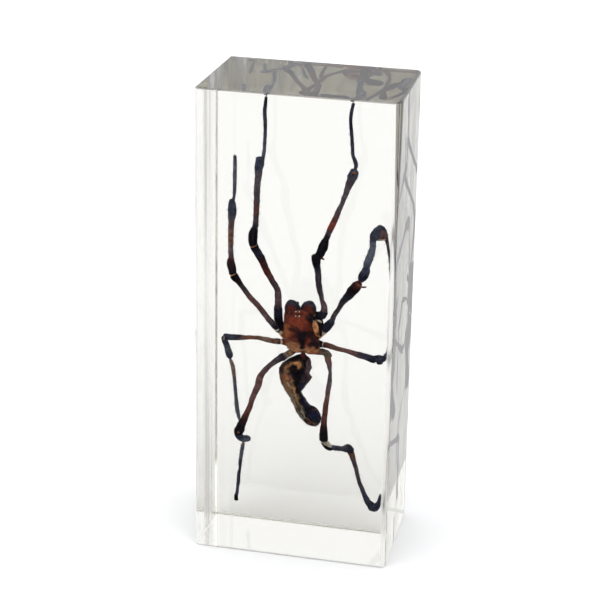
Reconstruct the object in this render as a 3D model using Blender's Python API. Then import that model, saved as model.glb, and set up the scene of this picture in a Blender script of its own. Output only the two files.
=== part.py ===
"""A dried spider sealed in an upright block of clear cast resin.

The block is parted in two along a plane through the spider, and the spider lies in the pocket between the halves.
The front faces -Y and the spider's back faces the front. X is across, Z is up, and the origin is the middle of
the block's foot.
"""

import math

import bmesh
import bpy
from mathutils import Matrix, Vector

MM = 0.001

# The cast block: a slab a little narrower at the back, so that it leaves its mould
BLOCK_HEIGHT = 110 * MM
FRONT_WIDTH = 45 * MM
BACK_WIDTH = 44 * MM
BLOCK_DEPTH = 28.5 * MM
EDGE_ROUND = 1.3 * MM
EDGE_STEPS = 3

# Where the block is parted, and the room between solids that touch in the real thing
PARTING_Y = 2.0 * MM
PARTING_GAP = 0.3 * MM
POCKET_ROOM = 0.42 * MM

# The fore body, in millimetres: centre, half sizes, and how square the lump is (1 is an ellipsoid)
FORE_BODY = (
    ("head", (-1.0, 1.8, 53.9), (2.95, 2.4, 2.9), 0.65),
    ("thorax", (-1.1, 2.2, 50.6), (3.4, 2.5, 3.9), 0.8),
    ("fang_base_left", (-2.65, 1.7, 57.9), (1.8, 1.9, 2.1), 0.9),
    ("fang_base_right", (1.0, 1.7, 58.1), (1.8, 1.9, 2.1), 0.9),
)

# The palps, folded behind the fang bases, in millimetres: points and radii
PALPS = (
    ((-3.2, 2.8, 54.6, 0.8), (-3.9, 4.6, 56.6, 0.7), (-3.2, 6.0, 58.4, 0.6), (-2.9, 6.6, 56.9, 0.4)),
    ((1.6, 2.8, 54.8, 0.8), (2.2, 4.6, 56.8, 0.7), (1.6, 6.0, 58.6, 0.6), (1.2, 6.6, 57.1, 0.4)),
)

# The waist and the shrivelled abdomen, in millimetres: points along its bent middle line and radii
ABDOMEN = (
    (-0.2, 2.2, 48.0, 0.6),
    (-0.1, 2.3, 46.5, 0.55),
    (-0.4, 2.5, 45.9, 1.1),
    (-1.2, 2.7, 44.8, 2.6),
    (-1.6, 2.8, 43.0, 3.3),
    (-1.5, 3.0, 40.7, 3.4),
    (-2.0, 3.2, 38.6, 2.5),
    (-2.4, 3.4, 37.0, 1.7),
    (-1.8, 3.6, 35.4, 1.5),
    (-0.9, 3.9, 33.6, 1.5),
    (0.5, 4.3, 31.9, 1.75),
    (1.5, 4.7, 30.2, 1.9),
    (2.0, 4.9, 28.7, 1.4),
    (2.1, 5.0, 27.9, 0.7),
)

# The legs, in millimetres: how stout each is, and its joints from the hip to the tip. The joints are the hip, the
# femur's root, the femur's bow, the knee, the patella's end, the tibia's end, the metatarsus' end and the tip.
LEGS = {
    "left_1": (
        1.12,
        ((-3.6, 2.2, 53.0), (-5.6, 0.0, 58.0), (-5.2, -2.5, 62.6), (-9.8, -10.0, 74.4),
         (-9.8, -9.5, 78.4), (-11.0, 6.5, 91.3), (-10.3, 7.0, 103.0), (-9.9, 7.0, 105.5)),
    ),
    "right_1": (
        1.0,
        ((1.6, 2.2, 53.6), (5.2, 1.0, 58.1), (4.9, -4.0, 64.8), (4.3, -9.5, 72.7),
         (6.3, -9.0, 77.0), (10.5, 5.5, 90.4), (9.3, 7.0, 100.1), (10.2, 5.0, 106.0)),
    ),
    "left_2": (
        0.95,
        ((-3.4, 2.2, 51.2), (-6.1, 0.5, 53.0), (-10.2, -4.5, 59.9), (-14.4, -9.5, 66.7),
         (-15.1, -8.5, 70.5), (-17.0, 4.0, 81.0), (-16.9, 4.6, 88.0), (-16.8, 5.0, 92.1)),
    ),
    "right_2": (
        1.0,
        ((2.2, 2.2, 51.6), (6.8, 1.0, 55.6), (10.4, -2.8, 61.3), (13.4, -6.2, 66.7),
         (15.1, -7.5, 70.0), (16.8, 7.0, 77.3), (18.6, 7.5, 72.9), (19.4, 8.0, 65.5)),
    ),
    "left_3": (
        0.88,
        ((-3.4, 2.2, 49.5), (-5.3, 1.5, 49.6), (-11.6, 0.8, 50.0), (-18.0, 1.0, 49.5),
         (-17.8, 2.4, 47.6), (-17.3, 5.5, 44.2), (-16.0, 6.5, 33.5), (-15.1, 6.5, 27.0)),
    ),
    "right_3": (
        0.92,
        ((2.2, 2.2, 50.0), (5.5, 1.5, 49.7), (11.8, 2.4, 48.4), (18.0, 3.5, 47.1),
         (18.1, 5.0, 45.9), (18.6, 8.8, 48.5), (19.0, 9.0, 57.0), (19.0, 8.6, 62.0)),
    ),
    "left_4": (
        1.05,
        ((-3.2, 2.2, 47.8), (-4.6, 1.0, 45.6), (-9.4, -3.0, 38.8), (-13.7, -6.0, 27.3),
         (-12.5, -3.2, 25.4), (-14.2, 6.0, 22.0), (-15.6, 6.8, 10.5), (-16.1, 7.0, 6.3)),
    ),
    "right_4": (
        1.02,
        ((2.4, 2.2, 48.4), (6.5, 1.0, 46.8), (7.1, -1.5, 40.5), (6.4, -5.0, 28.1),
         (7.8, -2.6, 25.4), (10.9, 7.5, 22.5), (17.6, 4.2, 8.3), (19.7, 1.0, 13.5)),
    ),
}

# A leg's outline from joint to joint: the share of the stretch, and the radius there in millimetres
LEG_OUTLINE = (
    ((0.0, 1.0), (0.75, 0.88)),
    ((0.0, 0.66), (0.25, 0.82)),
    ((0.0, 0.6), (0.7, 0.74), (0.93, 0.9)),
    ((0.0, 0.62), (0.45, 0.84)),
    ((0.0, 0.62), (0.45, 0.5), (0.93, 0.62)),
    ((0.0, 0.42), (0.5, 0.36)),
    ((0.0, 0.34), (0.85, 0.26)),
)
TIP_RADIUS = 0.18

# How finely the lumps and limbs are faceted
ROUND_SIDES = 14
ROUND_RINGS = 9
LIMB_BEVEL = 2
ABDOMEN_BEVEL = 4
SHARP_ANGLE = math.radians(40)
WELD = 0.01 * MM

RESIN_COLOUR = (0.96, 0.97, 0.94)
RESIN_ROUGHNESS = 0.03
RESIN_IOR = 1.56
SHELL_COLOUR = (0.1, 0.045, 0.03)
SHELL_ROUGHNESS = 0.4


def material(name, colour, roughness):
    made = bpy.data.materials.new(name)
    made.use_nodes = True
    shader = made.node_tree.nodes["Principled BSDF"]
    shader.inputs["Base Color"].default_value = (*colour, 1.0)
    shader.inputs["Roughness"].default_value = roughness
    shader.inputs["Metallic"].default_value = 0.0
    return made


def clear_material(name, colour, roughness, ior):
    made = material(name, colour, roughness)
    shader = made.node_tree.nodes["Principled BSDF"]
    shader.inputs["Transmission Weight"].default_value = 1.0
    shader.inputs["IOR"].default_value = ior
    return made


def collection(name):
    made = bpy.data.collections.new(name)
    bpy.context.scene.collection.children.link(made)
    return made


def mesh_object(name, shape, home):
    """A new object from a bmesh, which is freed."""
    bmesh.ops.recalc_face_normals(shape, faces=shape.faces[:])
    mesh = bpy.data.meshes.new(name)
    shape.to_mesh(mesh)
    shape.free()
    mesh.shade_smooth()
    made = bpy.data.objects.new(name, mesh)
    home.objects.link(made)
    return made


def lump(name, centre, half_sizes, square, room, home):
    """A ball pushed towards a rounded box: square is 1 for an ellipsoid, less for a boxier lump."""
    ball = bmesh.new()
    bmesh.ops.create_uvsphere(ball, u_segments=ROUND_SIDES, v_segments=ROUND_RINGS, radius=1.0)
    for corner in ball.verts:
        for axis in range(3):
            side = corner.co[axis]
            reach = half_sizes[axis] * MM + room
            corner.co[axis] = math.copysign(abs(side) ** square, side) * reach
    bmesh.ops.translate(ball, vec=Vector(centre) * MM, verts=ball.verts[:])
    return mesh_object(name, ball, home)


def tube(name, stations, bevel, room, home):
    """A mesh tube through stations of (point, radius), with flat caps. Room makes it fatter and longer."""
    stations = [(Vector(point), radius + room) for point, radius in stations]
    first, second = stations[0][0], stations[1][0]
    last, before = stations[-1][0], stations[-2][0]
    ends = (first + (first - second).normalized() * room, last + (last - before).normalized() * room)
    curve = bpy.data.curves.new(name, "CURVE")
    curve.dimensions = "3D"
    curve.bevel_depth = MM
    curve.bevel_resolution = bevel
    curve.use_fill_caps = True
    line = curve.splines.new("POLY")
    line.points.add(len(stations) - 1)
    for place, (point, radius) in zip(line.points, stations):
        place.co = (*point, 1.0)
        place.radius = radius / MM
    line.points[0].co = (*ends[0], 1.0)
    line.points[-1].co = (*ends[1], 1.0)
    source = bpy.data.objects.new(name + "_line", curve)
    home.objects.link(source)
    bpy.context.view_layer.update()
    mesh = bpy.data.meshes.new_from_object(source.evaluated_get(bpy.context.evaluated_depsgraph_get()))
    bpy.data.objects.remove(source)
    shape = bmesh.new()
    shape.from_mesh(mesh)
    bpy.data.meshes.remove(mesh)
    bmesh.ops.remove_doubles(shape, verts=shape.verts[:], dist=WELD)
    return mesh_object(name, shape, home)


def leg_stations(stout, joints):
    """The points and radii along one leg, from its joints and the outline that all legs share."""
    joints = [Vector(joint) * MM for joint in joints]
    stations = []
    for start, end, outline in zip(joints, joints[1:], LEG_OUTLINE):
        for share, radius in outline:
            stations.append((start.lerp(end, share), radius * stout * MM))
    stations.append((joints[-1], TIP_RADIUS * stout * MM))
    return stations


def point_stations(points):
    return [(Vector(point[:3]) * MM, point[3] * MM) for point in points]


def spider_pieces(prefix, room, home):
    """Every lump and limb of the spider as its own closed mesh, each fatter by room."""
    for name, centre, half_sizes, square in FORE_BODY:
        lump(prefix + name, centre, half_sizes, square, room, home)
    for number, points in enumerate(PALPS):
        tube(f"{prefix}palp_{number + 1}", point_stations(points), LIMB_BEVEL, room, home)
    tube(prefix + "abdomen", point_stations(ABDOMEN), ABDOMEN_BEVEL, room, home)
    for name, (stout, joints) in LEGS.items():
        tube(f"{prefix}leg_{name}", leg_stations(stout, joints), LIMB_BEVEL, room, home)


def as_cutter(piece):
    piece.hide_render = True
    piece.display_type = "WIRE"


def fused(name, pieces, home):
    """One object that is the union of all the objects in a collection, which stay hidden in it."""
    base, *others = pieces.objects[:]
    for piece in others:
        as_cutter(piece)
    pieces.objects.unlink(base)
    base.name = name
    home.objects.link(base)
    join = base.modifiers.new("Grown together", "BOOLEAN")
    join.operation = "UNION"
    join.operand_type = "COLLECTION"
    join.collection = pieces
    join.solver = "EXACT"
    join.use_self = True
    return base


def block_half(name, keep_front, pocket, home):
    """One half of the cast block, cut at the parting plane and hollowed by the pocket."""
    slab = bmesh.new()
    size = Matrix.Diagonal((FRONT_WIDTH, BLOCK_DEPTH, BLOCK_HEIGHT, 1.0))
    lift = Matrix.Translation((0, 0, BLOCK_HEIGHT / 2))
    bmesh.ops.create_cube(slab, size=1.0, matrix=lift @ size)
    for corner in slab.verts:
        if corner.co.y > 0:
            corner.co.x *= BACK_WIDTH / FRONT_WIDTH
    bmesh.ops.bevel(
        slab, geom=slab.edges[:], offset=EDGE_ROUND, segments=EDGE_STEPS, profile=0.5, affect="EDGES"
    )
    facing = 1 if keep_front else -1
    cut = bmesh.ops.bisect_plane(
        slab,
        geom=slab.verts[:] + slab.edges[:] + slab.faces[:],
        plane_co=(0, PARTING_Y - facing * PARTING_GAP / 2, 0),
        plane_no=(0, facing, 0),
        clear_outer=True,
    )
    rim = [part for part in cut["geom_cut"] if isinstance(part, bmesh.types.BMEdge)]
    bmesh.ops.edgeloop_fill(slab, edges=rim)
    half = mesh_object(name, slab, home)
    half.data.set_sharp_from_angle(angle=SHARP_ANGLE)
    hollow = half.modifiers.new("Pocket", "BOOLEAN")
    hollow.operation = "DIFFERENCE"
    hollow.object = pocket
    hollow.solver = "EXACT"
    return half


def main():
    for old in bpy.data.objects[:]:
        bpy.data.objects.remove(old)
    resin = clear_material("clear_resin", RESIN_COLOUR, RESIN_ROUGHNESS, RESIN_IOR)
    shell = material("dried_spider", SHELL_COLOUR, SHELL_ROUGHNESS)

    parts = collection("Spider in resin block")
    cutters = collection("Cutters")
    spider_members = collection("Spider pieces")
    pocket_members = collection("Pocket pieces")

    spider_pieces("spider_", 0.0, spider_members)
    spider = fused("spider", spider_members, parts)
    spider.data.materials.append(shell)

    spider_pieces("pocket_", POCKET_ROOM, pocket_members)
    pocket = fused("pocket", pocket_members, cutters)
    as_cutter(pocket)

    for name, keep_front in (("resin_front_half", True), ("resin_back_half", False)):
        half = block_half(name, keep_front, pocket, parts)
        half.data.materials.append(resin)


main()
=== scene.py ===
"""The looks of a dried spider sealed in an upright block of clear resin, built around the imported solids.

Metres, +Z up, the block's front at -Y. Numbers times MM are millimetres, and so are the spider's tables.
"""

import math
import random

import bpy
from mathutils import Matrix, Vector, kdtree, noise


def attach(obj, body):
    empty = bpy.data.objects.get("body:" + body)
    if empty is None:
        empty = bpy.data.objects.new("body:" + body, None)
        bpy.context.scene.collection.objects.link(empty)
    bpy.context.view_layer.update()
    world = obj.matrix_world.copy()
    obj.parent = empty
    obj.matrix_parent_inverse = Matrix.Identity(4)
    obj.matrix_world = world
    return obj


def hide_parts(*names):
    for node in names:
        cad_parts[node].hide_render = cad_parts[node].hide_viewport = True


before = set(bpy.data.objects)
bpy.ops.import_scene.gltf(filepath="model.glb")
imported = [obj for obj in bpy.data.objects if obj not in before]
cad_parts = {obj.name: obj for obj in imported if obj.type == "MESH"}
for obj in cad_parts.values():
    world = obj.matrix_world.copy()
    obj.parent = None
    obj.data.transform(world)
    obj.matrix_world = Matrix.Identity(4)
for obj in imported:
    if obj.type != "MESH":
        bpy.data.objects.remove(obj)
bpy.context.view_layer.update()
MM = 0.001


# The camera stands in front of the block, a little to its right and above it, and far enough back that the
# upright edges are nearly parallel. Its angles, distance and aim put the block's corners where the photograph
# has them.
CAMERA_AZIMUTH = math.radians(12.91)
CAMERA_ELEVATION = math.radians(21.48)
CAMERA_ROLL = math.radians(0.93)
CAMERA_DISTANCE = 462.8 * MM
CAMERA_AIM_ACROSS = -0.72 * MM
CAMERA_AIM_UP = 54.22 * MM
CAMERA_LENS = 116.72

towards_camera = Vector(
    (
        math.sin(CAMERA_AZIMUTH) * math.cos(CAMERA_ELEVATION),
        -math.cos(CAMERA_AZIMUTH) * math.cos(CAMERA_ELEVATION),
        math.sin(CAMERA_ELEVATION),
    )
)
turn = (-towards_camera).to_track_quat("-Z", "Y").to_matrix() @ Matrix.Rotation(CAMERA_ROLL, 3, "Z")
camera_place = (
    towards_camera * CAMERA_DISTANCE + turn.col[0] * CAMERA_AIM_ACROSS + turn.col[1] * CAMERA_AIM_UP
)
bpy.ops.object.camera_add(location=camera_place, rotation=turn.to_euler())
camera = bpy.context.object
camera.name = "photo_camera"
camera.data.lens = CAMERA_LENS
camera.data.clip_start = 10 * MM
bpy.context.scene.camera = camera


# The studio: a wide white table in a white tent, brightest over the camera and a little dimmer low behind the
# block, with a small white card under the foot. The lens looks out of a dark room, so what the block's front
# mirrors below it is dark and not the table.
TABLE_SIZE = (60.0, 60.0)
TABLE_DROP = 0.1 * MM
TABLE_COLOUR = (0.6, 0.6, 0.6)
CARD_SIZE = (43 * MM, 27.5 * MM)
CARD_DROP = 0.05 * MM
CARD_COLOUR = (0.95, 0.93, 0.8)
TENT_COLOUR = (0.98, 0.985, 1.0)
TENT_STRENGTH = 1.14
KEY_STRENGTH = 1.7
KEY_DIRECTION = (0.12, -0.8, 0.5)
KEY_SPREAD = (-0.4, 1.0)
BACK_DIRECTION = (-0.218, 0.951, 0.222)
BACK_SPREAD = (0.974, 0.995)
BACK_SHARE = 0.7
BEHIND_STRENGTH = 0.8
ROOM_STRENGTH = 0.02
ROOM_FADE = (-0.05, 0.05)
HORIZON_FADE = (-0.02, 0.0)
LIGHT_BOUNCES = 32
GLOSS_BOUNCES = 24


def fill_inputs(tree, node, inputs):
    """Sets a node's inputs to plain values, or links them where another node's output is given."""
    for socket, value in inputs.items():
        if isinstance(value, bpy.types.NodeSocket):
            tree.links.new(value, node.inputs[socket])
        else:
            node.inputs[socket].default_value = value


def add_node(tree, kind, inputs, **settings):
    """Adds a shader node with its own settings and its inputs filled."""
    node = tree.nodes.new(f"ShaderNode{kind}")
    for name, value in settings.items():
        setattr(node, name, value)
    fill_inputs(tree, node, inputs)
    return node


def ramp(tree, value, ends, levels=(0.0, 1.0), kind="LINEAR"):
    """Turns a value that runs between two ends into one that runs between two levels."""
    numbers = dict(zip(("From Min", "From Max", "To Min", "To Max"), (*ends, *levels)))
    node = add_node(tree, "MapRange", {"Value": value, **numbers}, interpolation_type=kind)
    return node.outputs["Result"]


def maths(tree, operation, *values):
    """One or more values, numbers or outputs, put together by an operation."""
    return add_node(tree, "Math", dict(enumerate(values)), operation=operation).outputs["Value"]


def along(tree, place, axis):
    """How far a place lies along an axis."""
    return add_node(tree, "VectorMath", {0: place, 1: axis}, operation="DOT_PRODUCT").outputs["Value"]


def start_material(name):
    """A new material, its node tree and its shader."""
    made = bpy.data.materials.new(name)
    made.use_nodes = True
    return made, made.node_tree, made.node_tree.nodes["Principled BSDF"]


for name, size, drop, colour in (
    ("table", TABLE_SIZE, TABLE_DROP, TABLE_COLOUR),
    ("card", CARD_SIZE, CARD_DROP, CARD_COLOUR),
):
    bpy.ops.mesh.primitive_plane_add(size=1, location=(0, 0, -drop))
    sheet = bpy.context.object
    sheet.scale = (*size, 1)
    bpy.ops.object.transform_apply(location=True, rotation=True, scale=True)
    sheet.name = name
    sheet.visible_glossy = False
    paper, paper_tree, paper_shader = start_material(f"{name}_white")
    matt = {"Base Color": (*colour, 1), "Roughness": 0.8, "Specular IOR Level": 0.1}
    fill_inputs(paper_tree, paper_shader, matt)
    sheet.data.materials.append(paper)

tent = bpy.data.worlds.new("light_tent")
tent.use_nodes = True
tent_tree = tent.node_tree
direction = add_node(tent_tree, "TexCoord", {}).outputs["Generated"]
heading = add_node(tent_tree, "SeparateXYZ", {"Vector": direction}).outputs
key = along(tent_tree, direction, Vector(KEY_DIRECTION).normalized())
above = ramp(tent_tree, key, KEY_SPREAD, (TENT_STRENGTH, TENT_STRENGTH + KEY_STRENGTH), "SMOOTHSTEP")
back = along(tent_tree, direction, Vector(BACK_DIRECTION).normalized())
dimmed = ramp(tent_tree, back, BACK_SPREAD, (1.0, BACK_SHARE), "SMOOTHSTEP")
sky = maths(tent_tree, "MULTIPLY", above, dimmed)
below = ramp(tent_tree, heading["Y"], ROOM_FADE, (ROOM_STRENGTH, BEHIND_STRENGTH))
rise = ramp(tent_tree, heading["Z"], HORIZON_FADE)
strength = add_node(tent_tree, "Mix", {"Factor": rise, "A": below, "B": sky}).outputs["Result"]
fill_inputs(tent_tree, tent_tree.nodes["Background"], {"Color": (*TENT_COLOUR, 1), "Strength": strength})
scene = bpy.context.scene
scene.world = tent
scene.view_settings.view_transform = "Standard"
scene.cycles.max_bounces = LIGHT_BOUNCES
scene.cycles.transmission_bounces = LIGHT_BOUNCES
scene.cycles.glossy_bounces = GLOSS_BOUNCES


# The block: clear resin cast in one piece round the spider in a mould with a slight draft, then ground and
# polished to rounded edges. The left face keeps long upright scuffs and some edges are worn matt. Thin dark
# lines of painted shade run along the worn front right edge and the top's edges, and painted shade darkens
# the right face a little. It is one solid here, where the source parts it in two.
BLOCK_HEIGHT = 110 * MM
FRONT_WIDTH = 44.98 * MM
BACK_WIDTH = 44 * MM
BLOCK_DEPTH = 28.5 * MM
UPRIGHT_ROUNDS = {
    ("left", "front"): 1.0 * MM,
    ("right", "front"): 1.0 * MM,
    ("left", "back"): 0.6 * MM,
    ("right", "back"): 1.4 * MM,
}
WORN_EDGE_SPREAD = 4.5
WORN_EDGE_WIDTH = 1.1 * MM
WORN_EDGE_END = 83 * MM
TOP_ROUND = 0.5 * MM
FOOT_ROUND = 0.5 * MM
EDGE_STEPS = 8
RESIN_IOR = 1.56
RESIN_ABSORBS = 8
RESIN_KEEPS = (0.28, 0.25, 0.06)
HAZE_FACE = (-21.7 * MM, -21.9 * MM)
HAZE_STROKE_SCALE = 450
HAZE_STROKE_STRETCH = (1, 1, 0.015)
HAZE_STROKE_SPREAD = (0.35, 0.65)
HAZE_LEVELS = (0.6, 1.0)
HAZE_DEPTHS = (14 * MM, -6 * MM)
HAZE_AT_BACK = 0.12
HAZE_FRONT_FADE = (-6 * MM, 2 * MM)
HAZE_MIDDLE = 58 * MM
HAZE_ENDS = (5 * MM, 38 * MM)
# Painted shade: the clear base colour goes towards this tint in strips along the worn front right edge and
# the top's edges, and a little over the whole right face.
PAINTED_SHADE_TINT = (0.12, 0.11, 0.09)
PAINTED_SHADE_STRIPS = (
    ("worn front right edge", (0.966, -0.259, 0.0172), 26.28 * MM, 1.0),
    ("top's front edge", (0, -1, 1), 123.82 * MM, 1.0),
    ("top's right edge", (1, 0.0175, 1), 131.5 * MM, 0.6),
    ("top's left edge", (-1, 0.0175, 1), 131.7 * MM, 0.6),
    ("right face", (1, 0.0175, 0), 22.1 * MM, 0.3),
)
MATT_EDGES = (
    ("front right edge", (0.5, -1, 0), 24.85 * MM, 0.4),
    ("foot's back edge", (0, 1, -1), 13.7 * MM, 0.4),
)
EDGE_FADE = 0.1 * MM


def select_only(piece):
    bpy.ops.object.select_all(action="DESELECT")
    piece.select_set(True)
    bpy.context.view_layer.objects.active = piece


bpy.ops.object.select_all(action="DESELECT")
bpy.ops.mesh.primitive_cube_add(
    size=1, location=(0, 0, BLOCK_HEIGHT / 2), scale=(FRONT_WIDTH, BLOCK_DEPTH, BLOCK_HEIGHT)
)
block = bpy.context.object
block.name = "resin_block"
bpy.ops.object.transform_apply(location=True, rotation=True, scale=True)
for corner in block.data.vertices:
    corner.select = corner.co.y > 0
for edge in block.data.edges:
    edge.select = all(block.data.vertices[end].co.y > 0 for end in edge.vertices)
for face in block.data.polygons:
    face.select = face.normal.y > 0.9
bpy.ops.object.mode_set(mode="EDIT")
bpy.ops.transform.resize(value=(BACK_WIDTH / FRONT_WIDTH, 1, 1), center_override=(0, 0, 0))
bpy.ops.mesh.select_all(action="SELECT")
bpy.ops.mesh.bisect(plane_co=(0, 0, WORN_EDGE_END), plane_no=(0, 0, 1))
bpy.ops.object.mode_set(mode="OBJECT")


def round_edges(piece, offset, chosen):
    """Rounds the edges whose two ends the rule chooses."""
    select_only(piece)
    bpy.ops.object.mode_set(mode="EDIT")
    bpy.ops.mesh.select_mode(type="EDGE")
    bpy.ops.mesh.select_all(action="DESELECT")
    bpy.ops.object.mode_set(mode="OBJECT")
    for edge in piece.data.edges:
        edge.select = all(chosen(piece.data.vertices[end].co) for end in edge.vertices)
    bpy.ops.object.mode_set(mode="EDIT")
    bpy.ops.mesh.bevel(offset=offset, segments=EDGE_STEPS, profile=0.5, affect="EDGES")
    bpy.ops.object.mode_set(mode="OBJECT")


for (side, end), offset in UPRIGHT_ROUNDS.items():
    hand = 1 if side == "right" else -1
    depth = 1 if end == "back" else -1

    def upright(place, hand=hand, depth=depth):
        return place.x * hand > 0.48 * BACK_WIDTH and place.y * depth > 0.49 * BLOCK_DEPTH

    round_edges(block, offset, upright)
for corner in block.data.vertices:
    inwards = corner.co.y + BLOCK_DEPTH / 2
    on_right_edge = corner.co.x > 0.45 * FRONT_WIDTH and inwards < WORN_EDGE_WIDTH
    if on_right_edge and corner.co.z > WORN_EDGE_END + MM:
        corner.co.y = inwards * WORN_EDGE_SPREAD - BLOCK_DEPTH / 2
round_edges(block, TOP_ROUND, lambda place: place.z > BLOCK_HEIGHT - 0.01 * MM)
round_edges(block, FOOT_ROUND, lambda place: place.z < 0.01 * MM)
bpy.ops.object.shade_smooth()
weigh = block.modifiers.new("Flat faces", "WEIGHTED_NORMAL")
weigh.weight = 100
select_only(block)
bpy.ops.object.modifier_apply(modifier=weigh.name)

resin, resin_tree, resin_shader = start_material("clear_resin")
clear = {"Base Color": (1, 1, 1, 1), "Roughness": 0.0, "IOR": RESIN_IOR, "Transmission Weight": 1.0}
fill_inputs(resin_tree, resin_shader, clear)
resin_body = add_node(resin_tree, "VolumeAbsorption", {"Color": (*RESIN_KEEPS, 1), "Density": RESIN_ABSORBS})
fill_inputs(resin_tree, resin_tree.nodes["Material Output"], {"Volume": resin_body.outputs["Volume"]})
resin_place = add_node(resin_tree, "TexCoord", {}).outputs["Object"]
resin_parts = add_node(resin_tree, "SeparateXYZ", {"Vector": resin_place}).outputs
stretched = add_node(resin_tree, "Mapping", {"Vector": resin_place, "Scale": HAZE_STROKE_STRETCH})
strokes = add_node(
    resin_tree, "TexNoise", {"Vector": stretched.outputs["Vector"], "Scale": HAZE_STROKE_SCALE, "Detail": 1}
)
haze = ramp(resin_tree, strokes.outputs["Fac"], HAZE_STROKE_SPREAD, HAZE_LEVELS)
from_middle = maths(resin_tree, "ABSOLUTE", maths(resin_tree, "SUBTRACT", resin_parts["Z"], HAZE_MIDDLE))
for share in (
    ramp(resin_tree, resin_parts["Y"], HAZE_DEPTHS, (HAZE_AT_BACK, 1.0)),
    ramp(resin_tree, resin_parts["Y"], HAZE_FRONT_FADE, kind="SMOOTHSTEP"),
    ramp(resin_tree, from_middle, HAZE_ENDS, HAZE_LEVELS),
    ramp(resin_tree, resin_parts["X"], HAZE_FACE),
):
    haze = maths(resin_tree, "MULTIPLY", haze, share)


def edge_masks(edges, mask):
    """Adds to a mask the strips beyond planes, each given as (name, axis, place along it, strength)."""
    for name, axis, edge_place, strength in edges:
        reach = along(resin_tree, resin_place, axis)
        strip = ramp(resin_tree, reach, (edge_place, edge_place + EDGE_FADE), (0.0, strength))
        strip.node.name = name
        mask = maths(resin_tree, "MAXIMUM", mask, strip)
    return mask


# The base colour mixed towards the painted shade tint in those strips.
painted_shade_mix = {"Factor": edge_masks(PAINTED_SHADE_STRIPS, 0.0), "A": (1, 1, 1, 1), "B": (*PAINTED_SHADE_TINT, 1)}
resin_colour = add_node(resin_tree, "Mix", painted_shade_mix, data_type="RGBA").outputs["Result"]
surface = {"Base Color": resin_colour, "Roughness": edge_masks(MATT_EDGES, haze)}
fill_inputs(resin_tree, resin_shader, surface)
block.data.materials.append(resin)
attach(block, "root")
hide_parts("resin_front_half", "resin_back_half")


# The spider was dried, then sunk in the resin as it poured, with its back to the front of the block. Its fore
# body is one hard shield over the soft parts, red in front and rotted dark and tan behind, with a pit and
# furrows where the muscles held inside.
CARAPACE_BALL = ((0.0, 1.3, 52.5), (5.35, 5.35, 5.35))
CARAPACE_LEFT = (
    (47.15, -1.3), (47.3, -2.1), (48.1, -3.2), (49.0, -3.8), (50.2, -4.05), (51.5, -4.25), (52.6, -4.3),
    (54.1, -4.2), (55.6, -4.15), (56.9, -4.0), (57.4, -3.6), (57.7, -2.4), (57.85, -0.9),
)
CARAPACE_RIGHT = (
    (47.15, 2.9), (47.5, 3.9), (48.9, 4.3), (50.4, 4.1), (51.6, 3.75), (52.7, 3.2), (53.9, 2.45), (55.1, 2.5),
    (56.2, 2.9), (57.3, 2.8), (57.7, 2.4), (57.85, 1.2),
)
CARAPACE_RISE = (
    (47.15, 0.5), (48.0, 1.0), (49.0, 1.4), (50.2, 1.5), (51.7, 1.8), (53.2, 2.05), (55.2, 2.15), (56.7, 2.0),
    (57.5, 1.6), (57.85, 0.9),
)
CARAPACE_RIM_Y = 1.3
CARAPACE_BELLY = 0.5
REAR_NOTCH = ((0.35, 46.9), (0.8, 0.9), 0.75)
HEAD_FURROWS = (((0.2, 50.9), (-1.7, 52.2), (-3.4, 54.2)), ((0.3, 50.9), (1.4, 52.3), (2.2, 54.4)))
REAR_FURROWS = (
    ((0.1, 50.8), (-1.8, 51.4), (-4.0, 51.6)),
    ((0.1, 50.6), (-1.9, 49.8), (-3.9, 49.6)),
    ((0.2, 50.4), (0.4, 48.9), (0.4, 47.6)),
    ((0.5, 50.8), (2.1, 51.0), (3.9, 51.6)),
    ((0.5, 50.6), (2.2, 49.9), (4.1, 49.6)),
)
FURROW_CUTS = ((HEAD_FURROWS, 0.35, 0.3), (REAR_FURROWS, 0.22, 0.25))
CARAPACE_DENTS = (
    ((0.3, 50.7), (0.4, 0.5), 0.55),
    ((2.1, 51.4), (1.2, 1.3), 0.45),
    ((-0.7, 57.0), (1.1, 0.8), -0.18),
)
# Some dyes hold painted light: the slate and blue grey dyes are dark skin with a painted bluish-grey sheen,
# and on the fang bases slate is a painted highlight; the navy dye is dark skin with a painted bluish sheen;
# the milky dye of the eyes is partly a painted highlight.
DYES = {
    "black": (0.004, 0.003, 0.006),
    "blue_black": (0.013, 0.013, 0.026),
    "navy_with_sheen": (0.011, 0.013, 0.040),
    "black_red": (0.020, 0.007, 0.008),
    "slate_with_sheen": (0.032, 0.036, 0.060),
    "blue_grey_with_sheen": (0.078, 0.088, 0.120),
    "dusk": (0.044, 0.034, 0.045),
    "grey_purple": (0.066, 0.052, 0.064),
    "purple": (0.104, 0.064, 0.074),
    "purple_brown": (0.110, 0.056, 0.054),
    "red_brown": (0.078, 0.028, 0.024),
    "brown": (0.118, 0.058, 0.040),
    "light_brown": (0.190, 0.130, 0.108),
    "dark_red": (0.085, 0.018, 0.014),
    "red": (0.165, 0.031, 0.018),
    "bright_red": (0.250, 0.052, 0.024),
    "orange": (0.340, 0.112, 0.040),
    "tan": (0.440, 0.215, 0.100),
    "bright_tan": (0.640, 0.300, 0.120),
    "pale_orange": (0.760, 0.350, 0.150),
    "dull_tan": (0.330, 0.160, 0.080),
    "ochre": (0.250, 0.145, 0.075),
    "olive": (0.200, 0.170, 0.135),
    "dark_olive": (0.105, 0.086, 0.066),
    "grey_cream": (0.400, 0.370, 0.310),
    "cream": (0.600, 0.500, 0.370),
    "milky_glint": (0.900, 0.820, 0.720),
}
# The vector noise that frays the stains' edges starts from this seed, so that they lie the same each run.
STAIN_SEED = 1795793460
noise.seed_set(STAIN_SEED)


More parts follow.
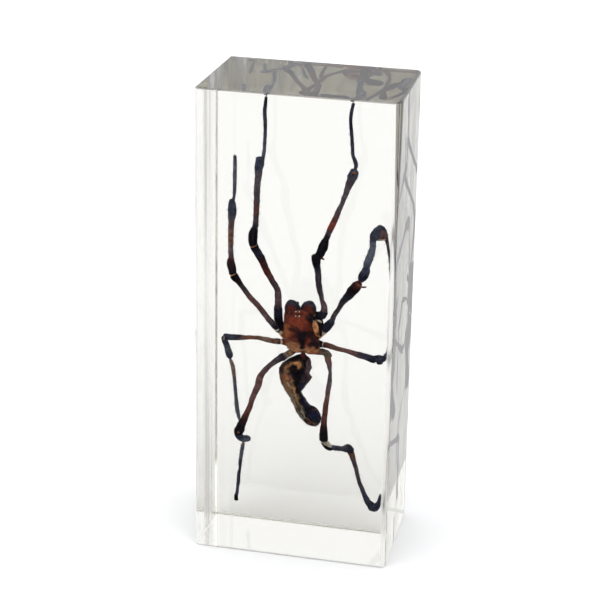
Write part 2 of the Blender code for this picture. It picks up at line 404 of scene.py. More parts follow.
def between(table, place):
    """The value at a place along a table of (place, value) pairs."""
    if place <= table[0][0]:
        return table[0][1]
    for (low, start), (high, end) in zip(table, table[1:]):
        if place <= high:
            return start + (end - start) * ((place - low) / (high - low))
    return table[-1][1]


def ball(name, centre, half_sizes, segments=56, rings=40):
    """A ball at its place and size in millimetres, with its poles up and down, as a mesh at the origin."""
    bpy.ops.object.select_all(action="DESELECT")
    place, scale = Vector(centre) * MM, Vector(half_sizes) * MM
    bpy.ops.mesh.primitive_uv_sphere_add(
        segments=segments, ring_count=rings, radius=1, location=place, scale=scale
    )
    made = bpy.context.object
    made.name = name
    bpy.ops.object.transform_apply(location=True, rotation=True, scale=True)
    bpy.ops.object.shade_smooth()
    return made


def reshape(piece, rule):
    """Moves every point of a piece to where the rule says, both in millimetres."""
    for corner in piece.data.vertices:
        corner.co = Vector(rule(corner.co / MM)) * MM


def sliced(place, ball_place):
    """Where a ball's point lies as even height up the ball, and as the cosine and sine round it."""
    middle, half = Vector(ball_place[0]), Vector(ball_place[1])
    unit = Vector([(place[axis] - middle[axis]) / half[axis] for axis in range(3)])
    ring = math.hypot(unit.x, unit.y) or 1.0
    height = middle.z + half.z * math.asin(max(-1.0, min(1.0, unit.z))) / (math.pi / 2)
    return height, unit.x / ring, unit.y / ring


def groove(x, z, line, width):
    """How deep a point lies in a furrow along a line of (x, z) points: 1 on the line, 0 away from it."""
    here = Vector((x, z))
    nearest = math.inf
    for start, end in zip(line, line[1:]):
        start, end = Vector(start), Vector(end)
        share = (here - start).dot(end - start) / (end - start).length_squared
        nearest = min(nearest, (here - start.lerp(end, max(0.0, min(1.0, share)))).length)
    return math.exp(-((nearest / width) ** 2))


def bump_at(x, z, centre, half_sizes):
    """A soft round swelling: 1 at its centre, 0 away from it."""
    return math.exp(-(((x - centre[0]) / half_sizes[0]) ** 2) - ((z - centre[1]) / half_sizes[1]) ** 2)


def crumple(place, size, depth):
    """A dried skin's uneven lift at a place, in millimetres, coarse and fine."""
    fine = noise.noise(place * 2.7 / size + Vector((7.1, 3.3, 1.9)))
    return depth * (noise.noise(place / size) + 0.45 * fine)


def paint(piece, base, patches, streaks=(), blur=0.35, wander=0.8):
    """Stains a piece's points: a base dye, then patches of (centre, half sizes, dye, strength) with ragged
    edges, then streaks of (line of (x, z) points, width, dye, strength) on its front."""
    stain = piece.data.color_attributes.new("stain", "FLOAT_COLOR", "POINT")
    for corner, spot in zip(piece.data.vertices, stain.data):
        spot_place = corner.co / MM
        place = spot_place + wander * noise.noise_vector(spot_place * 0.9)
        place += 0.35 * wander * noise.noise_vector(spot_place * 2.9)
        colour = Vector(DYES[base])
        for centre, half_sizes, dye, strength in patches:
            offset = Vector([(place[axis] - centre[axis]) / half_sizes[axis] for axis in range(3)])
            share = max(0.0, min(1.0, (1 + blur - offset.length) / (2 * blur)))
            colour = colour.lerp(Vector(DYES[dye]), strength * share * share * (3 - 2 * share))
        for line, width, dye, strength in streaks:
            worn = strength * groove(place.x, place.z, line, width)
            colour = colour.lerp(Vector(DYES[dye]), worn * (0.75 + 0.5 * noise.noise(spot_place * 3.1)))
        spot.color = (*colour, 1.0)


def dried_skin_group():
    """The grain that all the spider's skins share: a mottled stain, its roughness and its relief."""
    group = bpy.data.node_groups.new("Dried skin", "ShaderNodeTree")
    for name, way, kind in (
        ("Stain", "INPUT", "Color"),
        ("Mottle", "INPUT", "Float"),
        ("Grain", "INPUT", "Float"),
        ("Colour", "OUTPUT", "Color"),
        ("Roughness", "OUTPUT", "Float"),
        ("Lift", "OUTPUT", "Float"),
    ):
        group.interface.new_socket(name, in_out=way, socket_type=f"NodeSocket{kind}")
    given = group.nodes.new("NodeGroupInput").outputs
    place = add_node(group, "TexCoord", {}).outputs["Object"]
    coarse = {"Vector": place, "Scale": given["Grain"], "Detail": 4, "Roughness": 0.6}
    blotches = add_node(group, "TexNoise", coarse).outputs["Fac"]
    finer = maths(group, "MULTIPLY", given["Grain"], 3.7)
    pores = add_node(group, "TexVoronoi", {"Vector": place, "Scale": finer}).outputs["Distance"]
    shade = ramp(group, blotches, (0.3, 0.7), (-1.0, 1.0))
    swing = maths(group, "MULTIPLY_ADD", shade, given["Mottle"], 1.0)
    tint = add_node(group, "VectorMath", {0: given["Stain"], "Scale": swing}, operation="SCALE")
    results = {
        "Colour": tint.outputs["Vector"],
        "Roughness": ramp(group, blotches, (0.0, 1.0), (0.32, 0.62)),
        "Lift": maths(group, "MULTIPLY_ADD", pores, 0.5, blotches),
    }
    fill_inputs(group, group.nodes.new("NodeGroupOutput"), results)
    return group


SKIN_GLOSS = 0.04
dried_skin = dried_skin_group()


def skin_material(name, mottle, grain, relief):
    """A dried skin that takes its colour from the piece's stain attribute."""
    made, tree, shader = start_material(name)
    stain = add_node(tree, "Attribute", {}, attribute_name="stain").outputs["Color"]
    given = {"Stain": stain, "Mottle": mottle, "Grain": grain}
    skin = add_node(tree, "Group", given, node_tree=dried_skin).outputs
    bump = add_node(tree, "Bump", {"Distance": relief, "Height": skin["Lift"]})
    surface = {"Base Color": skin["Colour"], "Roughness": skin["Roughness"], "Normal": bump.outputs["Normal"]}
    fill_inputs(tree, shader, {"Specular IOR Level": SKIN_GLOSS, **surface})
    return made


def join(name, pieces):
    """Joins pieces into one object, which stays at the origin."""
    select_only(pieces[0])
    for piece in pieces:
        piece.select_set(True)
    if len(pieces) > 1:
        bpy.ops.object.join()
    pieces[0].name = name
    return pieces[0]


def finish_piece(piece, material):
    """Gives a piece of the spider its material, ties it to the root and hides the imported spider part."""
    piece.data.materials.clear()
    piece.data.materials.append(material)
    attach(piece, "root")
    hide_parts("spider")


shell_skin = skin_material("dried_shell", mottle=0.4, grain=1500, relief=0.05 * MM)


def carapace_shape(place):
    z, cosine, sine = sliced(place, CARAPACE_BALL)
    left, right = between(CARAPACE_LEFT, z), between(CARAPACE_RIGHT, z)
    across = math.copysign(abs(cosine) ** 0.85, cosine)
    x = (left + right) / 2 + across * (right - left) / 2
    dome = (1 - min(1.0, abs(across)) ** 2.6) ** 0.7
    z += REAR_NOTCH[2] * bump_at(x, z, *REAR_NOTCH[:2])
    if sine > 0:
        return x, CARAPACE_RIM_Y + CARAPACE_BELLY * dome, z
    sunk = 0.0
    for lines, depth, width in FURROW_CUTS:
        sunk += depth * max(groove(x, z, line, width) for line in lines)
    for centre, half_sizes, depth in CARAPACE_DENTS:
        sunk += depth * bump_at(x, z, centre, half_sizes)
    y = CARAPACE_RIM_Y - between(CARAPACE_RISE, z) * dome + sunk * dome
    return x, y + crumple(Vector((x, y, z)), 1.4, 0.16) * dome, z


carapace = ball("spider_carapace", *CARAPACE_BALL, 112, 96)
reshape(carapace, carapace_shape)
paint(
    carapace,
    "red",
    (
        ((-0.8, 0, 54.6), (1.6, 3, 2.2), "bright_red", 0.45),
        ((-3.3, 0, 52.4), (1.1, 3, 1.9), "orange", 0.85),
        ((-1.8, 0, 50.8), (1.6, 3, 1.2), "dark_red", 0.85),
        ((-1.9, 0, 48.6), (2.0, 3, 1.25), "dull_tan", 0.9),
        ((-1.2, 0, 48.3), (0.9, 3, 0.6), "tan", 0.6),
        ((2.5, 0, 48.3), (1.8, 3, 0.95), "dull_tan", 0.6),
        ((-1.3, 0, 53.2), (1.5, 3, 0.7), "black_red", 0.9),
        ((-0.6, 0, 51.9), (1.1, 3, 0.8), "black", 0.8),
        ((1.5, 0, 52.3), (1.8, 3, 1.3), "black", 0.9),
        ((0.2, 0, 51.0), (1.0, 3, 1.7), "black", 0.95),
        ((3.1, 0, 50.5), (1.1, 3, 1.4), "black", 0.95),
        ((1.7, 0, 50.6), (0.8, 3, 0.4), "dark_red", 0.5),
        ((2.4, 0, 49.7), (0.8, 3, 0.7), "black", 0.8),
        ((3.9, 0, 49.4), (0.6, 3, 1.0), "black", 0.9),
        ((0.4, 0, 49.2), (0.55, 3, 1.3), "black", 0.95),
        ((1.4, 0, 48.3), (0.6, 3, 0.45), "tan", 0.75),
        ((3.7, 0, 48.0), (0.55, 3, 0.4), "tan", 0.7),
        ((2.6, 0, 56.3), (1.2, 3, 1.6), "black", 1.0),
        ((-3.75, 0, 56.6), (0.35, 3, 1.1), "black_red", 0.75),
        ((-0.7, 0, 57.1), (1.2, 3, 0.6), "dark_red", 0.8),
        ((-0.65, 0, 56.8), (0.22, 3, 0.55), "black", 0.8),
        ((-2.7, 0, 57.0), (0.6, 3, 0.25), "black_red", 0.8),
    ),
    (
        (((-1.9, 54.2), (-1.0, 53.6), (0.1, 52.6)), 0.3, "black", 0.9),
        (((-3.9, 50.4), (-2.6, 49.6), (-2.0, 48.9)), 0.25, "brown", 0.8),
        (((-0.6, 56.3), (-0.5, 55.2), (-0.5, 54.4)), 0.16, "orange", 0.5),
        (((-3.6, 57.5), (-0.8, 57.8), (1.9, 57.7)), 0.16, "orange", 0.4),
        # A small cream speck at the rear notch: a painted highlight.
        (((0.2, 48.2), (0.45, 48.4)), 0.22, "cream", 0.9),
    ),
    blur=0.45,
)
finish_piece(carapace, shell_skin)


# The eyes: eight small lenses at the front of the shield, four in a square in the middle and a pair at each
# side. The middle ones each hold a pale spot in a dark rim, partly gone milky as they dried and partly a
# painted highlight.
MIDDLE_EYES = ((-1.16, 57.55, 0.27), (-0.36, 57.6, 0.27), (-1.08, 56.65, 0.27), (-0.25, 56.7, 0.27))
SIDE_EYES = ((-3.1, 56.9, 0.2), (-2.85, 56.45, 0.2), (1.6, 57.1, 0.2), (1.4, 56.6, 0.2))

eye_material, eye_tree, eye_shader = start_material("milky_eye")
eye_stain = add_node(eye_tree, "Attribute", {}, attribute_name="stain").outputs["Color"]
fill_inputs(eye_tree, eye_shader, {"Base Color": eye_stain, "Roughness": 0.12})


def surface_y(piece, x, z):
    """The Y, in millimetres, of a piece's front at a place."""
    hit, place, _, _ = piece.ray_cast(Vector((x, -12, z)) * MM, Vector((0, 1, 0)))
    return place.y / MM if hit else CARAPACE_RIM_Y


eyes = []
for number, (x, z, radius) in enumerate((*MIDDLE_EYES, *SIDE_EYES)):
    y = surface_y(carapace, x, z) + radius * 0.2
    lens = ball(f"eye_{number}", (x, y, z), (radius, radius * 0.8, radius), 20, 14)
    # Each middle eye's pale spot sits at its front: partly a milky lens, partly a painted highlight.
    milky_glint_patch = ((x - 0.05, y - radius, z + 0.03), (radius * 0.5, radius * 1.2, radius * 0.42), "milky_glint", 1.0)
    paint(lens, "black", (milky_glint_patch,) if number < len(MIDDLE_EYES) else (), blur=0.25, wander=0.0)
    eyes.append(lens)
finish_piece(join("spider_eyes", eyes), eye_material)


# The mouth parts: two stout hard bulbs side by side at the front of the head, each with a black curved fang
# folded behind it, and two short palps bent behind them.
FANG_BASES = (("left", -2.25, 57.6, -1), ("right", 1.35, 57.8, 1))
FANG_BASE_SIZE = (1.86, 1.9, 2.15)
FANG_BASE_Y = 1.95
FANG_LINE = ((0.9, 0.9, 1.2, 0.42), (0.75, 1.7, 1.1, 0.36), (0.3, 2.3, 0.5, 0.26), (-0.4, 2.5, -0.2, 0.12))
PALPS = (
    (
        (-3.0, 2.8, 54.9, 0.8, "brown"), (-3.6, 4.6, 56.6, 0.7, "purple_brown"),
        (-3.0, 6.0, 57.8, 0.6, "blue_black"), (-2.7, 6.6, 56.6, 0.4, "blue_black"),
    ),
    (
        (1.5, 2.8, 55.1, 0.8, "brown"), (2.0, 4.6, 56.8, 0.7, "purple_brown"),
        (1.5, 6.0, 58.0, 0.6, "blue_black"), (1.1, 6.6, 56.8, 0.4, "blue_black"),
    ),
)
LINE_STEPS = 12
LIMB_STEP = 0.25
LEAST_END = 0.15
END_STATIONS = (0.08, 0.25, 0.5, 0.8)


def smooth_line(points):
    """A line eased through points given in millimetres, in LINE_STEPS steps from each to the next."""
    points = [Vector(point) for point in points]
    ends = [2 * points[0] - points[1], *points, 2 * points[-1] - points[-2]]
    line = [points[0]]
    for before, start, end, after in zip(ends, ends[1:], ends[2:], ends[3:]):
        for step in range(1, LINE_STEPS + 1):
            t = step / LINE_STEPS
            line.append(
                0.5
                * (
                    2 * start
                    + (end - before) * t
                    + (2 * before - 5 * start + 4 * end - after) * t**2
                    + (3 * start - before - 3 * end + after) * t**3
                )
            )
    return line


def stations_along(points, end_round):
    """Places, radii and colours, close together along a limb given as points of (x, y, z, radius, dye)."""
    line = smooth_line([point[:3] for point in points])
    runs = [0.0]
    for start, end in zip(line, line[1:]):
        runs.append(runs[-1] + (end - start).length)
    length = runs[-1]
    course = [(run / length, place) for run, place in zip(runs, line)]
    marks = [run / length for run in runs[::LINE_STEPS]]
    girths = [(mark, point[3]) for mark, point in zip(marks, points)]
    tints = [(mark, Vector(DYES[point[4]])) for mark, point in zip(marks, points)]
    count = max(6, round(length / LIMB_STEP))
    shares = {step / count for step in range(count + 1)}
    rounds = (girths[0][1] * end_round / length, girths[-1][1] * end_round / length)
    for near in END_STATIONS:
        shares.update((min(0.5, near * rounds[0]), max(0.5, 1 - near * rounds[1])))
    stations = []
    for share in sorted(shares):
        fullness = 1.0
        for gap in (share / rounds[0], (1 - share) / rounds[1]):
            fullness *= max(LEAST_END, math.sqrt(1 - (1 - min(1.0, gap)) ** 2))
        stations.append((between(course, share), between(girths, share) * fullness, between(tints, share)))
    return stations


def limb(name, points, end_round=0.5, dents=0.1, fineness=5):
    """A closed round limb, dented as it dried and stained along its length, as a mesh at the origin."""
    stations = stations_along(points, end_round)
    curve = bpy.data.curves.new(name, "CURVE")
    curve.dimensions = "3D"
    curve.bevel_depth = MM
    curve.bevel_resolution = fineness
    curve.use_fill_caps = True
    run = curve.splines.new("POLY")
    run.points.add(len(stations) - 1)
    for point, (place, radius, _) in zip(run.points, stations):
        point.co = (*(place * MM), 1)
        point.radius = radius
    made = bpy.data.objects.new(name, curve)
    bpy.context.scene.collection.objects.link(made)
    select_only(made)
    bpy.ops.object.convert(target="MESH")
    made = bpy.context.object
    bpy.ops.object.mode_set(mode="EDIT")
    bpy.ops.mesh.select_all(action="SELECT")
    bpy.ops.mesh.remove_doubles(threshold=0.001 * MM)
    bpy.ops.mesh.normals_make_consistent(inside=False)
    bpy.ops.object.mode_set(mode="OBJECT")
    bpy.ops.object.shade_smooth()
    nearest = kdtree.KDTree(len(stations))
    for number, (place, _, _) in enumerate(stations):
        nearest.insert(place, number)
    nearest.balance()
    stain = made.data.color_attributes.new("stain", "FLOAT_COLOR", "POINT")
    for corner, spot in zip(made.data.vertices, stain.data):
        _, number, _ = nearest.find(corner.co / MM)
        place, radius, colour = stations[number]
        out = corner.co / MM - place
        worn = corner.co / MM
        corner.co += out * MM * (dents * (noise.noise(worn * 0.9) + 0.7 * noise.noise(worn * 2.6)))
        spot.color = (*(colour * (1 + 0.55 * noise.noise(worn * 1.3))), 1.0)
    return made


mouth_pieces = []
for side, x, z, outward in FANG_BASES:
    bulb = ball(f"fang_base_{side}", (x, FANG_BASE_Y, z), FANG_BASE_SIZE)

    def bulb_shape(place, x=x, z=z, outward=outward):
        up = (place.z - z) / FANG_BASE_SIZE[2]
        slim = 1 - 0.08 * max(0.0, up) + crumple(place, 1.1, 0.05)
        across = x + (place.x - x) * slim + 0.35 * outward * max(0.0, up) ** 2
        return across, FANG_BASE_Y + (place.y - FANG_BASE_Y) * slim, place.z

    reshape(bulb, bulb_shape)
    paint(
        bulb,
        "blue_black",
        (
            # The slate patch high on each bulb is a painted highlight.
            ((x + 0.4 * outward, 0.4, z + 1.5), (1.3, 1.6, 0.8), "slate_with_sheen", 0.8),
            ((x + 0.15 * outward, 0.0, z - 0.1), (1.4, 2.0, 1.55), "dark_red", 1.0),
        ),
        wander=0.3,
    )
    mouth_pieces.append(bulb)
    hook = [
        (x - outward * across, FANG_BASE_Y + back, z + up, thick, "black")
        for across, back, up, thick in FANG_LINE
    ]
    mouth_pieces.append(limb(f"fang_{side}", hook, dents=0.02))
for number, points in enumerate(PALPS):
    mouth_pieces.append(limb(f"palp_{number + 1}", points))
finish_piece(join("spider_mouth_parts", mouth_pieces), shell_skin)


# The underside: the breast plate with the lip and the two mouth plates before it, and the soft flanks between
# the shield and the legs, which dried tan and split where they show on the right.
UNDERSIDE = (
    ("flanks", (-0.5, 2.7, 51.8), (3.0, 1.7, 4.5), 0.0, "brown"),
    ("breast_plate", (-0.4, 4.0, 51.0), (2.0, 0.75, 2.6), 0.0, "dark_red"),
    ("lip", (-0.6, 4.2, 54.0), (0.75, 0.5, 0.7), 0.0, "black_red"),
    ("mouth_plate_left", (-1.7, 4.0, 55.1), (0.8, 0.65, 1.3), 0.0, "brown"),
    ("mouth_plate_right", (0.5, 4.0, 55.2), (0.8, 0.65, 1.3), 0.0, "brown"),
    ("side_plate", (3.4, 0.5, 53.75), (0.72, 0.7, 1.9), -0.24, "pale_orange"),
    ("flank_right", (3.9, 2.0, 54.0), (1.1, 0.9, 2.2), 0.0, "black"),
    ("side_plate_top", (4.1, 0.4, 55.6), (0.6, 0.5, 0.35), -0.6, "cream"),
    ("side_plate_edge", (4.3, 1.0, 53.5), (0.45, 0.7, 1.7), -0.1, "black"),
    # The joint scrap is a small light brown lump whose colour also stands in for a dim highlight, a painted
    # highlight.
    ("joint_scrap", (2.9, 1.0, 56.9), (0.3, 0.4, 0.45), 0.0, "light_brown"),
    ("joint_scrap_low", (3.3, 1.2, 56.0), (0.4, 0.5, 0.35), 0.0, "brown"),
    ("hip_skin_right", (4.1, 1.7, 51.9), (0.5, 0.5, 0.75), 0.5, "tan"),
    ("hip_skin_left", (-4.3, 1.6, 50.9), (0.5, 0.6, 0.6), 0.0, "orange"),
)
underside = []
for name, centre, half_sizes, lean, dye in UNDERSIDE:
    plate = ball(name, centre, half_sizes, 48, 32)

    def plate_shape(place, centre=centre, lean=lean):
        leaned = place + Vector((lean * (place.z - centre[2]), 0, 0))
        return leaned + Vector((1, 1, 1)) * crumple(place, 1.2, 0.07)

    reshape(plate, plate_shape)
    paint(plate, "black_red", ((centre, tuple(1.1 * size for size in half_sizes), dye, 1.0),), wander=0.35)
    underside.append(plate)
finish_piece(join("spider_underside", underside), shell_skin)


# The legs: seven hard hollow tubes each, hinged in soft skin that dried pale, with black knees, flared ends,
# knobs and torn scraps. Each dried bent in its own way, so it is given by its parts, from the hip out, as
# points of (x, y, z, radius, dye). A point without a dye has that of the point before it.
# Towards the feet the legs are mostly slate and blue grey: dark skin with a painted bluish-grey sheen.
LEGS = {
    "left_1": (
        ("coxa", (-3.5, 3.2, 51.8, 0.8, "black"), (-4.5, 2.4, 52.4, 0.9), (-5.2, 1.6, 53.2, 0.9)),
        ("trochanter", (-5.1, 1.7, 52.9, 0.85, "black"), (-5.3, 1, 55, 1), (-5.4, 0.4, 56.9, 1, "blue_black"),
         (-5.4, 0, 58.4, 0.9)),
        ("femur", (-5.4, 0.1, 57.9, 0.85, "blue_black"), (-5.2, -1.2, 60.4, 0.8, "purple"),
         (-5.2, -2.5, 62.9, 0.75), (-5.9, -3.8, 64.7, 0.7, "dusk"), (-7.2, -5.8, 67.9, 0.8, "dark_red"),
         (-8.2, -7.8, 71.2, 0.9, "black_red"), (-9.1, -9.1, 73.2, 0.95, "blue_black"),
         (-9.5, -9.8, 74.3, 1, "black")),
        ("knee_ring", (-9.4, -10.4, 74.4, 0.75, "dull_tan"), (-9.5, -10.4, 74.6, 0.75)),
        ("patella", (-9.6, -10, 74.6, 0.95, "black"), (-9.8, -10, 75.6, 1), (-9.8, -9.8, 76.9, 1.05),
         (-9.5, -9.5, 78.4, 0.8)),
        ("tibia", (-9.5, -9.4, 78.2, 0.7, "black"), (-9.5, -7.7, 79.5, 0.65, "dusk"),
         (-9.8, -5.3, 81.6, 0.65, "red_brown"), (-10.1, -2.7, 83.6, 0.7, "dusk"),
         (-10.5, 0.2, 86, 0.7, "grey_purple"), (-10.6, 2.3, 87.7, 0.8), (-10.8, 4.1, 89.2, 0.9, "slate_with_sheen"),
         (-10.8, 5.4, 90.3, 1.05), (-10.8, 6.5, 91.1, 1.05)),
        ("metatarsus", (-10.4, 6.5, 90.9, 0.45, "slate_with_sheen"), (-10, 6.6, 92.9, 0.4, "blue_grey_with_sheen"),
         (-9.8, 6.8, 97.7, 0.4, "slate_with_sheen"), (-10, 7, 102.7, 0.45)),
        ("tarsus", (-10, 7, 102.5, 0.4, "slate_with_sheen"), (-9.8, 7, 104.2, 0.4), (-9.7, 7, 105.4, 0.3, "black")),
    ),
    "right_1": (
        ("coxa", (1.5, 2.4, 56.4, 1, "black"), (3, 1.9, 56.4, 1.1), (4.2, 1.4, 56.7, 1.1)),
        ("trochanter", (4.1, 1.5, 56.7, 1.05, "black"), (4.8, 1, 57.2, 1, "blue_black"),
         (5.1, 0.8, 58, 0.85)),
        ("femur", (5, 1, 57.5, 0.85, "blue_black"), (5.2, 0.4, 59.2, 0.7, "purple"), (4.8, -0.4, 60.8, 0.55),
         (4.7, -1.8, 62.5, 0.6, "grey_purple"), (4.5, -3.9, 64.9, 0.7, "dusk"), (4.5, -6.5, 68.8, 0.7),
         (4.4, -8.2, 71, 0.85, "blue_black"), (4.4, -9.3, 72.5, 1.05, "black"), (4.4, -9.6, 73.4, 0.95)),
        ("patella", (4.7, -9.6, 73.1, 0.8, "black"), (5.3, -9.5, 74, 0.95), (5.9, -9.3, 75.6, 1.1),
         (6.4, -9, 77.1, 0.75)),
        ("flake", (5.5, -10.6, 73.4, 0.2, "black_red"), (6, -10.9, 73.2, 0.2, "dark_red"),
         (6.5, -11, 73.1, 0.15)),
        ("tibia", (6.4, -9, 77.1, 0.7, "black"), (6.8, -7.8, 78.3, 0.65, "dusk"),
         (7.2, -6.6, 79.5, 0.7, "red"), (7.7, -5.3, 80.7, 0.7, "red_brown"),
         (8.3, -3.1, 82.6, 0.6, "grey_purple"), (8.9, -1.3, 84.3, 0.5), (9.5, 1.1, 86.5, 0.65),
         (9.9, 2.8, 88, 0.85, "dusk"), (10.3, 4.4, 89.3, 1.1, "slate_with_sheen"), (10.5, 5.5, 90.2, 1.05)),
        ("socket", (10.7, 3.2, 90.2, 0.35, "brown"), (10.7, 3.7, 90.5, 0.4, "orange")),
        ("metatarsus", (10.8, 5.5, 90.4, 0.3, "tan"), (10.8, 5.6, 91.1, 0.35, "slate_with_sheen"),
         (10.9, 5.8, 91.8, 0.5), (10.6, 5.9, 92.8, 0.45), (10.1, 6.1, 94, 0.4), (9.8, 6.4, 96.7, 0.4),
         (9.4, 6.9, 99.9, 0.4, "blue_black")),
        ("tarsus", (9.4, 6.9, 99.8, 0.4, "blue_black"), (9.4, 6, 102.8, 0.4, "slate_with_sheen"), (10, 5, 105.7, 0.35)),
    ),
    "left_2": (
        ("coxa", (-3.6, 3, 50.3, 0.75, "orange"), (-4.5, 2.4, 51.1, 0.75, "tan"),
         (-5.1, 2, 51.7, 0.6, "cream")),
        ("trochanter", (-5, 2, 51.7, 0.55, "cream"), (-5.2, 1.9, 51.9, 0.65),
         (-5.4, 1.8, 52.1, 0.7, "blue_black"), (-5.7, 1.5, 52.4, 0.7), (-5.8, 1.3, 52.6, 0.7, "cream"),
         (-5.9, 1.2, 52.8, 0.65)),
        ("femur", (-5.8, 1.1, 53, 0.75, "blue_black"), (-6.2, 0.6, 53.5, 0.85),
         (-6.9, -0.4, 54.5, 0.75, "grey_purple"), (-7.7, -1.6, 55.9, 0.7, "purple"),
         (-9.2, -3.6, 58.6, 0.65, "purple_brown"), (-11, -5.8, 61.3, 0.65), (-12.5, -7.8, 64.1, 0.6, "dusk"),
         (-13.3, -8.8, 65.6, 0.75, "black_red"), (-13.8, -9.3, 66.4, 1, "black"), (-14.2, -9.5, 67, 1)),
        ("knee_ring", (-14.2, -9.9, 67.1, 0.75, "dull_tan"), (-14.3, -9.9, 67.3, 0.75, "tan")),
        ("patella", (-14.4, -9.5, 67.3, 0.85, "black"), (-14.5, -9.4, 67.8, 0.9),
         (-14.8, -9, 69.1, 1, "black_red"), (-15, -8.7, 70, 0.9), (-14.9, -8.5, 70.7, 0.7, "red_brown")),
        ("tibia", (-14.9, -8.5, 70.5, 0.6, "dusk"), (-15.3, -6.8, 72, 0.6, "purple"),
         (-15.6, -5, 73.5, 0.6, "brown"), (-16, -2.3, 75.7, 0.65, "purple_brown"),
         (-16.3, 0, 77.6, 0.7, "grey_purple"), (-16.4, 1.4, 78.8, 0.9, "slate_with_sheen"), (-16.5, 2.3, 79.6, 1.1),
         (-16.7, 3.4, 80.4, 0.85), (-16.8, 3.9, 81, 0.8), (-16.9, 4.3, 81.5, 0.6)),
        ("metatarsus", (-16.7, 4.3, 81.3, 0.35, "slate_with_sheen"), (-16.4, 4.4, 82.6, 0.35, "blue_grey_with_sheen"),
         (-16.3, 4.5, 85.1, 0.45), (-16.3, 4.6, 87.9, 0.45)),
        ("tarsus", (-16.3, 4.6, 87.8, 0.45, "blue_grey_with_sheen"), (-16.3, 4.9, 90.6, 0.45),
         (-16.4, 5, 91.8, 0.35, "slate_with_sheen")),
    ),
    "right_2": (
        ("coxa", (2.7, 2.8, 50.8, 0.8, "brown"), (3.8, 2.3, 51.8, 0.85, "tan"), (4.4, 1.9, 52.7, 0.8)),
        ("trochanter", (4.4, 2, 52.4, 0.75, "tan"), (4.9, 1.8, 53, 0.9, "cream"),
         (5.2, 1.6, 53.5, 1, "blue_black"), (6, 1.3, 54.5, 1.05), (6.7, 1, 55.4, 0.9),
         (7, 0.9, 55.9, 0.65, "slate_with_sheen")),
        ("femur", (6.9, 0.9, 55.7, 0.65, "slate_with_sheen"), (7.7, 0, 57.8, 0.55, "grey_purple"),
         (8.8, -1.3, 59.7, 0.55, "dusk"), (9.8, -2.8, 61.7, 0.7), (11.1, -4, 63.4, 1, "blue_black"),
         (12.3, -5.2, 65.2, 1.15, "black"), (13.2, -6, 66.5, 1.1, "black_red"),
         (13.8, -6.5, 67.3, 0.75, "dark_red")),
        ("knee_ring", (13.5, -6.9, 66.9, 0.6, "brown"), (13.7, -6.9, 67.2, 0.6)),
        ("spur", (13.9, -7, 66.7, 0.2, "brown"), (14.7, -7.6, 66.7, 0.2),
         (15.6, -7.9, 66.9, 0.15, "red_brown")),
        ("patella", (14.2, -7, 68.1, 0.65, "slate_with_sheen"), (14.6, -7.2, 68.8, 1, "blue_black"),
         (14.9, -7.4, 69.5, 1.1), (15.3, -7.4, 70.6, 0.95, "slate_with_sheen"), (15.4, -7.2, 71.3, 0.65)),
        ("tibia", (15.3, -7.2, 71, 0.65, "slate_with_sheen"), (15.5, -5.7, 72, 0.9, "blue_grey_with_sheen"),
         (15.8, -2.3, 73.6, 0.85), (15.8, 0.2, 74.6, 0.7), (15.6, 2, 75.5, 0.75, "slate_with_sheen"),
         (15.7, 3.5, 76.4, 1), (16.2, 5.2, 77.1, 1.05), (16.7, 6.6, 77.7, 0.75)),
        ("swelling", (16.2, 4, 76.2, 0.85, "purple"), (16.9, 5.2, 76.4, 1.15, "purple_brown"),
         (17.6, 6.6, 75.9, 0.85, "red_brown")),
        ("swelling_rim", (16.4, 3.4, 75.5, 0.2, "light_brown"), (17.3, 4.8, 75.3, 0.2, "cream"),
         (18, 6.2, 75.2, 0.2, "light_brown")),
        ("metatarsus", (16.8, 7, 77.6, 0.75, "slate_with_sheen"), (17.3, 7.1, 76.8, 0.8, "dusk"),
         (17.9, 7.2, 75.4, 0.55, "red_brown"), (18.3, 7.4, 73.7, 0.35, "grey_purple"),
         (18.8, 7.6, 70.9, 0.3, "slate_with_sheen"), (19.2, 7.8, 68.5, 0.45, "black")),
        ("tarsus", (19.2, 7.8, 68.5, 0.5, "black"), (19.3, 7.9, 67.1, 0.5), (19.5, 8, 65.1, 0.4, "slate_with_sheen")),
    ),
    "left_3": (
        ("coxa", (-2.7, 2.8, 48.9, 0.75, "red"), (-4, 2.3, 49.2, 0.75), (-4.7, 1.9, 49.4, 0.7, "dark_red")),
        ("trochanter", (-4.7, 1.9, 49.4, 0.65, "dark_red"), (-4.9, 1.8, 49.4, 0.7, "cream"),
         (-5, 1.7, 49.4, 0.7)),
        ("femur", (-5.1, 1.7, 49.4, 0.7, "dusk"), (-5.8, 1.6, 49.4, 0.75, "brown"), (-6.9, 1.5, 49.4, 0.6),
         (-8.5, 1.3, 49.7, 0.6, "light_brown"), (-10, 1.1, 49.9, 0.5, "brown"), (-11.5, 0.9, 49.9, 0.5),
         (-13.1, 0.9, 49.7, 0.55), (-14.6, 0.9, 49.6, 0.7, "dusk"), (-16.2, 0.9, 49.4, 0.75, "slate_with_sheen"),
         (-17.4, 1, 49.4, 0.8), (-18, 1, 49.3, 0.75)),
        ("knee_ring", (-17.8, 0.2, 49.2, 0.55, "light_brown"), (-18.2, 0.2, 49.3, 0.45)),
        ("patella", (-18.1, 1.2, 49.1, 0.75, "slate_with_sheen"), (-18, 2, 48, 0.7),
         (-17.7, 3.2, 46.3, 0.7, "blue_grey_with_sheen"), (-17.6, 4.6, 44.7, 0.9, "slate_with_sheen"), (-17.5, 5.4, 43.8, 0.85),
         (-17.4, 5.6, 43.2, 0.6)),
        ("tibia", (-17.4, 5.5, 43.1, 0.25, "light_brown"), (-17.3, 5.5, 42.7, 0.3), (-17.1, 5.6, 42.1, 0.45),
